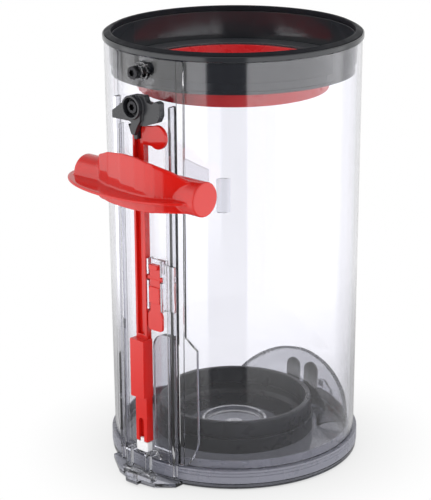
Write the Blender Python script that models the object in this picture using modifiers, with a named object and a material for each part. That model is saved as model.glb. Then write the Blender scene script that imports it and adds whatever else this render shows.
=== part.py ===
"""Clear dust bin of a cordless cyclone vacuum cleaner: a tapered clear tube with a dark mouth collar, a red
release slider with a handle on its runner, a small red removal catch, and a hinged clear base with its latch.

The frame: the tube's axis is Z and the bin stands on z = 0. The runner and the handle face -Y, the base's
hinge is at +Y, and X is to the right when the runner is seen from outside. Lengths below are in millimetres,
and "out" is the distance from the axis towards the runner, so y = -out.
"""
import math

import bmesh
import bpy
from mathutils import Matrix, Vector

MM = 0.001
GAP = 0.3

# Driving dimensions.
HEIGHT = 209.0
TUBE_RADIUS = 60.0
TUBE_RADIUS_HEIGHT = 110.0
TUBE_TAPER = 0.00744
TUBE_WALL = 2.0
TUBE_BOTTOM = 10.0
TUBE_TOP = 204.9
ROUND_STEPS = 64
RING_STEPS = 48

COLLAR_BOTTOM = 189.8
LIP_RADIUS = 61.4
LIP_BOTTOM = 205.2
LEDGE_TOP = 192.6
WIPER_BOTTOM = 181.4

RUNNER_OUT = 60.9
RAIL_RADIUS = 61.5
RIB_OUT = 61.8
RIB_TOP = 184.4
PAD_TOP = 204.6
INNER_RIB_OUT = 62.0
SLIDER_BACK = 62.3
ROD_HALF = 3.5
ROD_BACK = 61.2
ROD_FRONT = 64.5
ROD_TOP = 173.5
SPRING_BOX_TOP = 72.0
SPRING_BOX_BOTTOM = 43.2
FORK_BOTTOM = 20.3

HANDLE_HEIGHT = 146.8
HANDLE_OUT = 64.5
HANDLE_RADIUS = 8.05
HANDLE_CLEARANCE = 61.8

CLAW_SCREW_HEIGHT = 182.8
CLAW_BACK = 62.9
COLLAR_SCREW_HEIGHT = 198.3
SCREW_HOLE = 1.75
SHANK_RADIUS = 1.4

CATCH_PIVOT_OUT = 63.2
CATCH_PIVOT_HEIGHT = 103.0

HINGE_Y = 64.6
HINGE_Z = 5.2
HINGE_PIN_RADIUS = 1.5

LATCH_PIVOT_OUT = 67.4
LATCH_PIVOT_HEIGHT = 4.8

FLAP_RADIUS = 60.6
FLAP_RIM_TOP = 3.0
FLAP_FLOOR_TOP = 9.0
FLAP_PLUG_RADIUS = 57.0
CUP_OUTER = 39.0
CUP_INNER = 35.3
CUP_LIP_OUTER = 38.0
CUP_LEDGE = 16.7
CUP_TOP = 25.3
HOOD_OUTER = 56.4
HOOD_INNER = 41.0
HOOD_WALL = 1.4


def tube_radius(height):
    return TUBE_RADIUS + TUBE_TAPER * (height - TUBE_RADIUS_HEIGHT)


# ---------------------------------------------------------------- scene, collections, materials

for old in list(bpy.data.objects):
    bpy.data.objects.remove(old)

bin_parts = bpy.data.collections.new("dust_bin")
cutters = bpy.data.collections.new("cutters")
bpy.context.scene.collection.children.link(bin_parts)
bpy.context.scene.collection.children.link(cutters)


def material(name, colour, roughness, metallic=0.0, alpha=1.0):
    made = bpy.data.materials.new(name)
    made.use_nodes = True
    shader = made.node_tree.nodes["Principled BSDF"]
    shader.inputs["Base Color"].default_value = (*colour, 1.0)
    shader.inputs["Roughness"].default_value = roughness
    shader.inputs["Metallic"].default_value = metallic
    shader.inputs["Alpha"].default_value = alpha
    return made


CLEAR = material("clear_plastic", (0.88, 0.88, 0.93), 0.05, alpha=0.35)
DARK = material("dark_grey_plastic", (0.035, 0.038, 0.045), 0.32)
CLAW = material("claw_grey_plastic", (0.06, 0.062, 0.07), 0.4)
RED = material("red_plastic", (0.72, 0.02, 0.015), 0.22)
SOFT_RED = material("soft_red_rubber", (0.62, 0.02, 0.015), 0.5)
RUBBER = material("dark_rubber", (0.02, 0.021, 0.025), 0.6)
PALE = material("pale_plastic", (0.8, 0.8, 0.82), 0.3)
STEEL = material("steel", (0.55, 0.55, 0.56), 0.3, metallic=1.0)
BLACK = material("black_screw", (0.03, 0.03, 0.033), 0.35, metallic=1.0)


# ---------------------------------------------------------------- shapes

def place(made, mat=None, smooth=False):
    """A finished piece goes in the bin's collection with its material."""
    for collection in list(made.users_collection):
        collection.objects.unlink(made)
    bin_parts.objects.link(made)
    made.data.materials.clear()
    made.data.materials.append(mat)
    if smooth:
        made.data.shade_smooth()
        made.data.set_sharp_from_angle(angle=math.radians(35))
    return made


def from_bmesh(name, shape):
    data = bpy.data.meshes.new(name)
    bmesh.ops.recalc_face_normals(shape, faces=shape.faces)
    shape.to_mesh(data)
    shape.free()
    made = bpy.data.objects.new(name, data)
    bin_parts.objects.link(made)
    return made


def box(name, x, out, z):
    """A box between the low and high values of x, out and z."""
    shape = bmesh.new()
    bmesh.ops.create_cube(shape, size=1.0)
    size = Vector((x[1] - x[0], out[1] - out[0], z[1] - z[0])) * MM
    middle = Vector((x[0] + x[1], -out[0] - out[1], z[0] + z[1])) * MM / 2
    bmesh.ops.scale(shape, vec=size, verts=shape.verts)
    bmesh.ops.translate(shape, vec=middle, verts=shape.verts)
    return from_bmesh(name, shape)


def bar(name, start, end, radius, steps=24):
    """A round bar from start to end, each an (x, out, z)."""
    first = Vector((start[0], -start[1], start[2])) * MM
    last = Vector((end[0], -end[1], end[2])) * MM
    along = last - first
    turn = along.to_track_quat("Z", "Y").to_matrix().to_4x4()
    shape = bmesh.new()
    bmesh.ops.create_cone(shape, cap_ends=True, segments=steps, radius1=radius * MM, radius2=radius * MM,
                          depth=along.length, matrix=Matrix.Translation((first + last) / 2) @ turn)
    return from_bmesh(name, shape)


def turned(name, profile, steps=ROUND_STEPS, closed=True):
    """A profile of (radius, z) turned about the axis; it runs down its outer side, top to bottom."""
    data = bpy.data.meshes.new(name)
    points = [(radius * MM, 0.0, z * MM) for radius, z in profile]
    edges = [(i, i + 1) for i in range(len(points) - 1)]
    if closed:
        edges.append((len(points) - 1, 0))
    data.from_pydata(points, edges, [])
    made = bpy.data.objects.new(name, data)
    bin_parts.objects.link(made)
    screw = made.modifiers.new("turn", "SCREW")
    screw.steps = steps
    screw.render_steps = steps
    screw.use_merge_vertices = True
    screw.merge_threshold = 0.00001
    return applied(made)


def applied(made):
    """The object with its modifiers, or its curve, made into a plain mesh."""
    bpy.context.view_layer.update()
    seen = made.evaluated_get(bpy.context.evaluated_depsgraph_get())
    data = bpy.data.meshes.new_from_object(seen)
    shape = bmesh.new()
    shape.from_mesh(data)
    bmesh.ops.remove_doubles(shape, verts=shape.verts, dist=0.000002)
    bmesh.ops.recalc_face_normals(shape, faces=shape.faces)
    shape.to_mesh(data)
    shape.free()
    name = made.name
    where = made.matrix_world.copy()
    bpy.data.objects.remove(made)
    plain = bpy.data.objects.new(name, data)
    plain.matrix_world = where
    bin_parts.objects.link(plain)
    return plain


def outline_curve(name, outline, thickness):
    curve = bpy.data.curves.new(name, "CURVE")
    curve.dimensions = "2D"
    curve.fill_mode = "BOTH"
    curve.extrude = thickness * MM / 2
    spline = curve.splines.new("POLY")
    spline.points.add(len(outline) - 1)
    for point, (across, up) in zip(spline.points, outline):
        point.co = (across * MM, up * MM, 0.0, 1.0)
    spline.use_cyclic_u = True
    made = bpy.data.objects.new(name, curve)
    bin_parts.objects.link(made)
    return made


def level_plate(name, outline, low, high):
    """An outline of (x, out) as a plate between two heights."""
    made = outline_curve(name, [(x, -out) for x, out in outline], high - low)
    made.location.z = (low + high) / 2 * MM
    return applied(made)


def front_plate(name, outline, back, front):
    """An outline of (x, z) as a plate between two distances out."""
    made = outline_curve(name, outline, front - back)
    made.rotation_euler.x = math.pi / 2
    made.location.y = -(back + front) / 2 * MM
    return applied(made)


def side_plate(name, outline, left, right):
    """An outline of (y, z) as a plate between two values of x."""
    made = outline_curve(name, outline, right - left)
    made.rotation_euler = (math.pi / 2, 0.0, math.pi / 2)
    made.location.x = (left + right) / 2 * MM
    return applied(made)


def arc(middle, radius, start, end, steps):
    """Points on an arc in degrees, counted from the outline's first axis towards its second."""
    turns = [math.radians(start + (end - start) * i / steps) for i in range(steps + 1)]
    return [(middle[0] + radius * math.cos(t), middle[1] + radius * math.sin(t)) for t in turns]


def ellipse(middle, across, up, start, end, steps):
    turns = [math.radians(start + (end - start) * i / steps) for i in range(steps + 1)]
    return [(middle[0] + across * math.cos(t), middle[1] + up * math.sin(t)) for t in turns]


def combine(base, operation, *pieces):
    """Joins, cuts or intersects the base with each piece in turn."""
    for piece in pieces:
        for collection in list(piece.users_collection):
            collection.objects.unlink(piece)
        cutters.objects.link(piece)
        piece.hide_render = True
        piece.display_type = "WIRE"
        step = base.modifiers.new(piece.name, "BOOLEAN")
        step.operation = operation
        step.solver = "EXACT"
        step.object = piece
    return base


def join(base, *pieces):
    return combine(base, "UNION", *pieces)


def cut(base, *pieces):
    return combine(base, "DIFFERENCE", *pieces)


def coil(name, middle, low, high, radius, wire, turns, points=12):
    """A compression spring that stands on z = low about the vertical line through (x, out)."""
    curve = bpy.data.curves.new(name, "CURVE")
    curve.dimensions = "3D"
    curve.bevel_depth = wire * MM / 2
    curve.bevel_resolution = 2
    curve.use_fill_caps = True
    spline = curve.splines.new("POLY")
    count = turns * points
    spline.points.add(count)
    rise = high - low - wire
    for i, point in enumerate(spline.points):
        turn = 2 * math.pi * i / points
        across = middle[0] + radius * math.cos(turn)
        out = middle[1] + radius * math.sin(turn)
        point.co = (across * MM, -out * MM, (low + wire / 2 + rise * i / count) * MM, 1.0)
    made = bpy.data.objects.new(name, curve)
    bin_parts.objects.link(made)
    return applied(made)


def hollow_head_screw(name, x, tip, seat, face, height, head_radius):
    """A screw along the out direction: shank from tip to seat, head from seat to face with a six-sided socket."""
    screw = bar(name, (x, seat, height), (x, face, height), head_radius)
    shank = bar(name + "_shank", (x, tip, height), (x, seat + 0.6, height), SHANK_RADIUS, 16)
    socket = bar(name + "_socket", (x, face - 1.2, height), (x, face + 1.0, height), head_radius * 0.42, 6)
    return cut(join(screw, shank), socket)


# ---------------------------------------------------------------- the bin's tube and its mouldings

def wall_patch(name, radius, outline):
    """A patch of the tube's wall raised to a radius, with an outline of (x, z)."""
    ring = turned(name, [(radius, 208.0), (radius, 6.0), (59.1, 6.0), (59.1, 208.0)])
    return combine(ring, "INTERSECT", front_plate(name + "_outline", outline, 40.0, 70.0))


def runner_pad():
    """The raised strip under the slider, wider beside the fork, with a rail along each border."""
    flare = [(21.9, PAD_TOP), (20.9, 75.0), (26.2, 69.0), (26.2, 22.0), (24.4, 16.7), (21.5, 11.0)]
    pieces = [wall_patch("runner_pad", RUNNER_OUT, flare + [(-x, z) for x, z in reversed(flare)])]
    rail = [(18.4, PAD_TOP), (21.7, PAD_TOP), (20.3, 10.8), (18.4, 10.8)]
    pieces.append(wall_patch("right_rail", RAIL_RADIUS, rail))
    pieces.append(wall_patch("left_rail", RAIL_RADIUS, [(-x, z) for x, z in reversed(rail)]))
    return pieces


def wall_details():
    """A flat panel beside the fork, and two thin raised patches beside the handle."""
    panel = [(4.9, 17.5), (15.9, 17.5), (15.9, 75.4), (13.0, 75.4)] + arc((12.0, 68.3), 7.1, 90, 180, 6)
    guard = [(21.0, 160.6), (30.8, 156.2), (30.8, 140.0), (21.0, 140.0)]
    window = [(34.6, 152.3), (38.5, 152.3), (38.5, 136.4), (34.6, 136.4)]
    return [front_plate("fork_panel", panel, 58.5, 61.9), wall_patch("guard_patch", 60.8, guard),
            wall_patch("window_patch", 60.8, window)]


def runner_ribs():
    ribs = []
    for side in (-1, 1):
        x = sorted((side * 16.4, side * 18.0))
        ribs.append(box(f"outer_rib_{side}", x, (58.0, RIB_OUT), (10.6, RIB_TOP)))
        ribs.append(box(f"outer_rib_foot_{side}", x, (59.9, RIB_OUT), (5.0, 12.0)))
        ribs.append(box(f"inner_rib_{side}", sorted((side * 14.1, side * 14.9)), (58.0, INNER_RIB_OUT),
                        (10.8, 172.0)))
    return ribs


def keepers():
    """Two bars beside the fork's lower end, which the latch's noses stand over."""
    return [box(f"keeper_{side}", sorted((side * 4.4, side * 8.2)), (58.0, 62.0), (11.5, 14.0))
            for side in (-1, 1)]


def hinge_lug(side):
    inner, outer = HINGE_Y - 3.0, HINGE_Y + 3.0
    outline = [(57.6, 17.0), (57.6, 10.6), (inner, 10.6)]
    outline += arc((HINGE_Y, HINGE_Z), 3.0, 180, 360, 12)
    outline += [(outer, 8.5), (60.5, 17.0)]
    return side_plate(f"hinge_lug_{side}", outline, *sorted((side * 8.0, side * 12.0)))


def bin_tube():
    tube = turned("bin_tube", [
        (tube_radius(TUBE_TOP), TUBE_TOP),
        (tube_radius(TUBE_BOTTOM), TUBE_BOTTOM),
        (tube_radius(TUBE_BOTTOM) - TUBE_WALL, TUBE_BOTTOM),
        (tube_radius(TUBE_TOP) - TUBE_WALL, TUBE_TOP)])
    collar_boss = bar("collar_screw_boss", (0, 59.6, COLLAR_SCREW_HEIGHT), (0, 62.3, COLLAR_SCREW_HEIGHT), 4.5)
    screw_post = bar("collar_screw_post", (0, 61.0, COLLAR_SCREW_HEIGHT), (0, 64.4, COLLAR_SCREW_HEIGHT), 3.7)
    claw_boss = bar("claw_boss", (0, 59.6, CLAW_SCREW_HEIGHT), (0, 61.9, CLAW_SCREW_HEIGHT), 4.2)
    spring_seat = box("spring_seat", (-2.2, 2.2), (58.6, 65.8), (45.5, 47.5))
    join(tube, *runner_pad(), *wall_details(), *runner_ribs(), *keepers(), collar_boss, screw_post, claw_boss,
         spring_seat, hinge_lug(-1), hinge_lug(1))
    cut(tube,
        bar("collar_screw_hole", (0, 50, COLLAR_SCREW_HEIGHT), (0, 70, COLLAR_SCREW_HEIGHT), SCREW_HOLE, 16),
        bar("claw_screw_hole", (0, 60.0, CLAW_SCREW_HEIGHT), (0, 70, CLAW_SCREW_HEIGHT), SCREW_HOLE, 16),
        bar("hinge_hole", (-20, -HINGE_Y, HINGE_Z), (20, -HINGE_Y, HINGE_Z), HINGE_PIN_RADIUS + GAP))
    place(tube, CLEAR, smooth=True)


# ---------------------------------------------------------------- the mouth

def mouth_collar():
    """The band inside the tube's wall, the lip over its edge, a groove for the seal and a foot for the ring."""
    collar = turned("mouth_collar", [
        (60.7, 207.6), (LIP_RADIUS, 207.3), (LIP_RADIUS, LIP_BOTTOM), (58.35, LIP_BOTTOM),
        (58.1, COLLAR_BOTTOM), (53.0, COLLAR_BOTTOM), (53.0, 190.8), (57.0, 190.8), (57.0, 206.2),
        (60.7, 206.2)])
    cut(collar, bar("collar_hole", (0, 50, COLLAR_SCREW_HEIGHT), (0, 70, COLLAR_SCREW_HEIGHT), SCREW_HOLE, 16))
    place(collar, DARK, smooth=True)


def mouth_seal():
    seal = turned("mouth_seal", [(58.2, HEIGHT), (60.4, 207.9), (60.4, 206.5), (57.3, 206.5), (57.3, 208.6)])
    place(seal, RUBBER, smooth=True)


def wiper_retaining_ring():
    ring = turned("wiper_retaining_ring", [
        (56.7, LEDGE_TOP), (56.7, 191.1), (46.7, 191.1), (46.7, LEDGE_TOP)], RING_STEPS)
    place(ring, CLAW, smooth=True)


def shroud_wiper():
    """A soft cone below the ring, held by its flange between the ring and the collar's foot."""
    wiper = turned("shroud_wiper", [
        (46.3, 191.6), (46.3, 190.8), (52.6, 190.8), (52.6, 189.6), (46.4, 189.2), (45.2, WIPER_BOTTOM),
        (44.0, WIPER_BOTTOM), (45.1, 191.6)], RING_STEPS)
    place(wiper, SOFT_RED, smooth=True)


def collar_screw():
    screw = hollow_head_screw("collar_screw", 0, 57.6, 64.7, 67.6, COLLAR_SCREW_HEIGHT, 3.0)
    place(screw, BLACK, smooth=True)


# ---------------------------------------------------------------- the slider's retainer

def actuator_retainer():
    """A wing to the left, a thick body to the right, a claw that points down, and a deep round boss."""
    wing = [(-15.9, 175.0), (-15.8, 178.7), (-10.5, 182.3), (-5.2, 186.2), (2.0, 186.0), (2.0, 175.2),
            (-4.5, 175.2)]
    body = [(-0.4, 188.2), (6.0, 188.6), (7.0, 186.0), (10.6, 185.4), (13.0, 187.0), (15.4, 186.4),
            (15.6, 180.5), (14.0, 177.4), (6.7, 175.0), (1.8, 174.2), (-1.0, 180.0)]
    hook = [(-2.0, 180.0), (-1.8, 174.0), (-1.5, 171.0), (-0.8, 167.7), (1.2, 167.7), (1.8, 174.2), (2.4, 180.0)]
    ridge = [(-3.5, 179.0), (4.8, 181.0), (4.6, 177.0), (2.2, 173.0), (1.0, 170.0), (-1.0, 170.0), (-2.6, 174.0)]
    claw = front_plate("actuator_retainer", wing, CLAW_BACK, 64.9)
    pieces = [front_plate("retainer_body", body, CLAW_BACK, 66.2),
              front_plate("retainer_hook", hook, CLAW_BACK, 66.1),
              front_plate("retainer_ridge", ridge, 64.85, 67.6),
              bar("retainer_foot", (0, 62.2, CLAW_SCREW_HEIGHT), (0, 64.6, CLAW_SCREW_HEIGHT), 5.2),
              bar("retainer_boss", (0, 63.6, CLAW_SCREW_HEIGHT), (0, 69.0, CLAW_SCREW_HEIGHT), 5.5)]
    recess = bar("retainer_recess", (0, 65.5, CLAW_SCREW_HEIGHT), (0, 75.0, CLAW_SCREW_HEIGHT), 4.5)
    hole = bar("retainer_hole", (0, 55.0, CLAW_SCREW_HEIGHT), (0, 70.0, CLAW_SCREW_HEIGHT), SCREW_HOLE, 16)
    place(cut(join(claw, *pieces), recess, hole), CLAW, smooth=True)


def retainer_screw():
    screw = hollow_head_screw("retainer_screw", 0, 60.3, 65.8, 68.0, CLAW_SCREW_HEIGHT, 3.0)
    place(screw, BLACK, smooth=True)


# ---------------------------------------------------------------- the red slider

# The handle's front face and top edge over x, and how its top falls towards the tube: (depth, share of the rise).
HANDLE_FRONT = ((-24.0, 65.5), (-21.5, 69.8), (-17.0, 72.8), (-8.0, 76.2), (2.0, 78.3), (12.0, 79.0),
                (18.0, 78.8), (21.5, 77.9), (26.0, 75.2), (30.5, 72.4), (36.0, 68.6))
HANDLE_CREST = ((-21.5, 152.0), (-19.4, 156.5), (-17.2, 159.3), (-8.4, 162.5), (3.0, 164.2), (11.8, 164.1),
                (20.9, 162.3), (28.1, 159.3), (36.0, 154.0))
HUMP = ((0.0, 1.0), (2.0, 0.97), (4.5, 0.84), (8.0, 0.6), (12.0, 0.35), (18.0, 0.1))
HANDLE_BELLY = 139.0
BELLY_SLOPE = 0.03
HANDLE_BACK = 54.0


def along(knots, x):
    """The height of a line through the knots at x."""
    for (left, first), (right, second) in zip(knots, knots[1:]):
        if x <= right:
            return first + (second - first) * (x - left) / (right - left)
    return knots[-1][1]


def handle_body():
    """The front of the handle: upright columns under a hump, with a blunt left end."""
    columns = 23
    left, right = HANDLE_CREST[0][0], HANDLE_CREST[-1][0]
    shape = bmesh.new()
    rings = []
    for i in range(columns + 1):
        x = left + (right - left) * i / columns
        rise = along(HANDLE_CREST, x) - HANDLE_HEIGHT
        low = HANDLE_BELLY + BELLY_SLOPE * x
        ring = [(max(along(HANDLE_FRONT, x) - depth, HANDLE_BACK), HANDLE_HEIGHT + rise * share)
                for depth, share in HUMP]
        ring += [(ring[-1][0], low), (ring[0][0], low)]
        rings.append([shape.verts.new((x * MM, -out * MM, z * MM)) for out, z in ring])
    for first, second in zip(rings, rings[1:]):
        for i in range(len(first)):
            shape.faces.new((first[i - 1], first[i], second[i], second[i - 1]))
    shape.faces.new(rings[0])
    shape.faces.new(rings[-1])
    return from_bmesh("handle_body", shape)


def handle():
    grip = bar("handle_grip", (-34.5, HANDLE_OUT, HANDLE_HEIGHT), (41.3, HANDLE_OUT, HANDLE_HEIGHT),
               HANDLE_RADIUS, 32)
    flange = level_plate("handle_flange", ellipse((0, HANDLE_OUT), 40.5, 22.5, 0, 352.5, 47), 145.0, 146.5)
    join(grip, handle_body(), flange)
    clearance = turned("handle_clearance", [(0, 180), (HANDLE_CLEARANCE, 180), (HANDLE_CLEARANCE, 120), (0, 120)],
                       closed=False)
    channel = box("handle_channel", (-19.5, 19.5), (50.0, SLIDER_BACK), (120.0, 180.0))
    return applied(cut(grip, clearance, channel))


def release_slider():
    slider = box("release_slider", (-ROD_HALF, ROD_HALF), (ROD_BACK, ROD_FRONT), (FORK_BOTTOM + 10, ROD_TOP))
    lobe = bar("slider_lobe", (11.6, SLIDER_BACK + 0.1, 170.0), (11.6, ROD_FRONT - 0.1, 170.0), 5.5)
    neck = [(0.0, 165.5), (9.0, 165.5), (9.0, 174.8), (6.7, 174.6), (2.4, 173.8), (0.0, ROD_TOP - 0.1)]
    lobe_neck = front_plate("slider_lobe_neck", neck, SLIDER_BACK + 0.1, ROD_FRONT - 0.1)
    spring_box = box("slider_spring_box", (-4.35, 4.35), (61.5, 68.0), (SPRING_BOX_BOTTOM, SPRING_BOX_TOP))
    fork = box("slider_fork", (-3.6, 3.6), (61.3, 65.6), (FORK_BOTTOM, SPRING_BOX_BOTTOM + 1.0))
    join(slider, handle(), lobe, lobe_neck, spring_box, fork)
    pocket = box("spring_pocket", (-3.0, 3.0), (50.0, 66.5), (45.1, 70.5))
    slot = front_plate("fork_slot", [(-1.6, 10.0), (1.6, 10.0)] + arc((0, 30.4), 1.6, 0, 180, 8), 63.6, 80.0)
    upper_groove = box("upper_groove", (-2.2, 2.2), (62.6, 70.0), (164.5, 180.0))
    lower_groove = box("lower_groove", (-2.2, 2.2), (62.9, 66.0), (SPRING_BOX_TOP + 2.0, 137.0))
    cut(slider, pocket, slot, upper_groove, lower_groove)
    place(slider, RED, smooth=True)


def slider_tip():
    tip = box("slider_tip", (-3.7, 3.7), (62.0, 65.4), (15.0, 20.0))
    stem = box("slider_tip_stem", (-1.3, 1.3), (63.9, 65.2), (19.0, 22.0))
    place(join(tip, stem), PALE)


def slider_return_spring():
    place(coil("slider_return_spring", (0, 64.0), 47.8, 70.2, 1.7, 0.6, 8), STEEL, smooth=True)


# ---------------------------------------------------------------- the small removal catch

def catch_bracket():
    """Two cheeks with open bearings, a plate behind them and an arm across the ribs."""
    bracket = box("catch_bracket", (4.1, 5.3), (60.2, 64.4), (87.5, 112.0))
    right_cheek = box("catch_right_cheek", (12.5, 13.7), (60.2, 64.4), (87.5, 112.0))
    back = box("catch_back", (4.6, 13.2), (60.0, 62.2), (105.5, 111.6))
    arm = box("catch_arm", (13.0, 20.8), (62.4, 63.8), (88.6, 110.8))
    join(bracket, right_cheek, back, arm)
    clearance = turned("catch_clearance", [(0, 130), (61.25, 130), (61.25, 70), (0, 70)], closed=False)
    bearing = box("catch_bearing", (3.0, 13.8), (61.6, 70.0), (CATCH_PIVOT_HEIGHT - 1.5, CATCH_PIVOT_HEIGHT + 1.5))
    place(cut(bracket, clearance, bearing), CLEAR)


def removal_catch():
    """A rocker: a hook bar above its trunnions, a raised pad and a paddle below."""
    catch = box("removal_catch", (5.7, 12.1), (62.7, 64.2), (98.0, 109.0))
    hook = box("catch_hook", (6.3, 11.3), (62.7, 65.4), (107.4, 109.8))
    trunnion = bar("catch_trunnion", (4.4, CATCH_PIVOT_OUT, CATCH_PIVOT_HEIGHT),
                   (13.4, CATCH_PIVOT_OUT, CATCH_PIVOT_HEIGHT), 1.2, 20)
    pad = box("catch_pad", (5.7, 12.1), (62.6, 64.9), (91.0, 99.0))
    outline = [(12.1, 92.0), (5.7, 92.0), (5.7, 87.0), (4.2, 85.0)]
    outline += arc((5.7, 79.0), 1.5, 180, 270, 4) + arc((11.5, 79.0), 1.5, 270, 360, 4)
    outline += [(13.0, 85.0), (12.1, 87.0)]
    paddle = front_plate("catch_paddle", outline, 62.65, 64.0)
    place(join(catch, hook, trunnion, pad, paddle), RED)


# ---------------------------------------------------------------- the base flap

def kidney(radius_in, radius_out, half_angle, low, high, name):
    """A curved slot about the hinge side of the floor."""
    outer = arc((0, 0), radius_out, 270 - half_angle, 270 + half_angle, 12)
    inner = arc((0, 0), radius_in, 270 + half_angle, 270 - half_angle, 12)
    return level_plate(name, outer + inner, low, high)


def flap_tongue():
    """The flat tongue below the runner, fused to the flap's rim."""
    left = math.degrees(math.atan2(49.3, -28.0))
    right = math.degrees(math.atan2(53.4, 18.7))
    outline = [(-28.0, 57.0), (-14.0, 67.0), (-5.0, 70.0), (4.0, 70.0), (11.0, 69.0), (18.7, 62.3)]
    return level_plate("flap_tongue", outline + arc((0, 0), 56.4, right, left, 12), 0.6, 2.6)


def base_flap():
    flap = turned("base_flap", [
        (0, 10.3), (14.2, 10.3), (14.6, 12.4), (16.2, 12.4), (16.6, FLAP_FLOOR_TOP), (55.2, FLAP_FLOOR_TOP),
        (55.2, 8.2), (FLAP_PLUG_RADIUS, 8.2), (FLAP_PLUG_RADIUS, FLAP_RIM_TOP), (FLAP_RADIUS, FLAP_RIM_TOP),
        (FLAP_RADIUS, 1.0), (59.2, 0), (55.0, 0), (55.0, 7.0), (16.8, 7.0), (16.8, 0), (14.4, 0), (14.4, 8.3),
        (5.0, 8.3), (5.0, 0), (0, 0)], closed=False)
    knuckle = bar("flap_knuckle", (-7.6, -HINGE_Y, HINGE_Z), (7.6, -HINGE_Y, HINGE_Z), 3.0)
    web = box("flap_web", (-7.6, 7.6), (-HINGE_Y - 0.5, -58.0), (0.5, 2.9))
    lip = box("tongue_lip", (-4.0, 3.4), (69.4, 72.8), (0.8, 2.4))
    lip_front = box("tongue_lip_front", (-4.0, 3.4), (71.9, 73.0), (1.2, 6.0))
    cheeks = [box(f"latch_cheek_{side}", sorted((side * 8.4, side * 9.8)), (65.6, 68.8), (1.8, 6.8))
              for side in (-1, 1)]
    join(flap, flap_tongue(), knuckle, web, lip, lip_front, *cheeks)
    cut(flap,
        kidney(43.5, 52.4, 28, 4.0, 12.0, "inlet_port"),
        bar("knuckle_hole", (-10, -HINGE_Y, HINGE_Z), (10, -HINGE_Y, HINGE_Z), HINGE_PIN_RADIUS + GAP),
        bar("latch_hole", (-12, LATCH_PIVOT_OUT, LATCH_PIVOT_HEIGHT),
            (12, LATCH_PIVOT_OUT, LATCH_PIVOT_HEIGHT), 1.3, 16))
    place(flap, CLEAR, smooth=True)


def base_seal():
    """The ring that the bin's wall stands on, with a lip inside the wall."""
    seal = turned("base_seal", [
        (56.7, 13.6), (56.9, 9.7), (60.9, 9.7), (60.9, 3.3), (57.3, 3.3), (57.3, 8.5), (55.7, 8.5),
        (55.9, 13.6)])
    place(seal, RUBBER, smooth=True)


def cup_seal_carrier():
    carrier = turned("cup_seal_carrier", [
        (CUP_OUTER, CUP_LEDGE), (CUP_OUTER, 9.3), (22.5, 9.3), (22.5, 9.9), (33.5, 11.6), (CUP_INNER, 13.6),
        (CUP_INNER, CUP_LEDGE)], RING_STEPS)
    place(carrier, DARK, smooth=True)


def cup_seal_lip():
    lip = turned("cup_seal_lip", [
        (CUP_LIP_OUTER, CUP_TOP), (CUP_LIP_OUTER, CUP_LEDGE + GAP), (CUP_INNER, CUP_LEDGE + GAP),
        (CUP_INNER, CUP_TOP)], RING_STEPS)
    place(lip, RUBBER, smooth=True)


def hood_height(azimuth):
    """The hood's top edge by the wall, over the azimuth from -Y through +X; highest at the hinge."""
    knots = ((126, 12.5), (133, 20.5), (147, 24.5), (165, 30.2), (180, 33.0), (195, 31.5), (205, 27.5),
             (217, 19.5), (220, 15.0))
    for (left, low), (right, high) in zip(knots, knots[1:]):
        if azimuth <= right:
            return low + (high - low) * (azimuth - left) / (right - left)
    return knots[-1][1]


def inlet_hood():
    """A vault against the rear wall: each section falls from the wall's edge to the floor beside the cup."""
    base = FLAP_FLOOR_TOP + GAP
    shape = bmesh.new()
    sections = []
    for i in range(25):
        azimuth = 126 + 94 * i / 24
        rise = hood_height(azimuth) - base
        turn = math.radians(azimuth)
        section = []
        for k in range(9):
            fall = math.radians(-5 + 100 * k / 8)
            radius = HOOD_OUTER - (HOOD_OUTER - HOOD_INNER) * math.sin(fall)
            z = base + rise * math.cos(fall)
            section.append(shape.verts.new((radius * math.sin(turn) * MM, -radius * math.cos(turn) * MM, z * MM)))
        sections.append(section)
    for first, second in zip(sections, sections[1:]):
        for k in range(8):
            shape.faces.new((first[k], first[k + 1], second[k + 1], second[k]))
    hood = from_bmesh("inlet_hood", shape)
    skin = hood.modifiers.new("wall", "SOLIDIFY")
    skin.thickness = HOOD_WALL * MM
    skin.offset = -1.0
    hood = applied(hood)
    floor = turned("hood_floor", [(0, base), (70, base), (70, 0), (0, 0)], closed=False)
    wall = turned("hood_wall", [(70, 50), (70, -5), (55.35, -5), (55.35, 13.9), (HOOD_OUTER, 13.9),
                                (HOOD_OUTER, 50)])
    place(cut(hood, floor, wall), CLEAR, smooth=True)


def inlet_valve(name, left, right, top):
    """An upright rubber leaf with an arched top, between the port and the bin's wall."""
    middle = (left + right) / 2
    half = (right - left) / 2
    outline = [(left, FLAP_FLOOR_TOP + GAP), (right, FLAP_FLOOR_TOP + GAP)]
    outline += ellipse((middle, top - half), half, half, 0, 180, 10)
    place(front_plate(name, outline, -53.5, -52.4), RUBBER, smooth=True)


def latch_pin():
    place(bar("latch_pin", (-10.2, LATCH_PIVOT_OUT, LATCH_PIVOT_HEIGHT),
              (10.2, LATCH_PIVOT_OUT, LATCH_PIVOT_HEIGHT), 1.0, 16), STEEL, smooth=True)


def latch_spring():
    place(coil("latch_spring", (0, 70.4), 2.9, 5.1, 0.8, 0.35, 3), STEEL, smooth=True)


def hinge_pin():
    place(bar("hinge_pin", (-12.8, -HINGE_Y, HINGE_Z), (12.8, -HINGE_Y, HINGE_Z), HINGE_PIN_RADIUS), STEEL,
          smooth=True)


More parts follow.
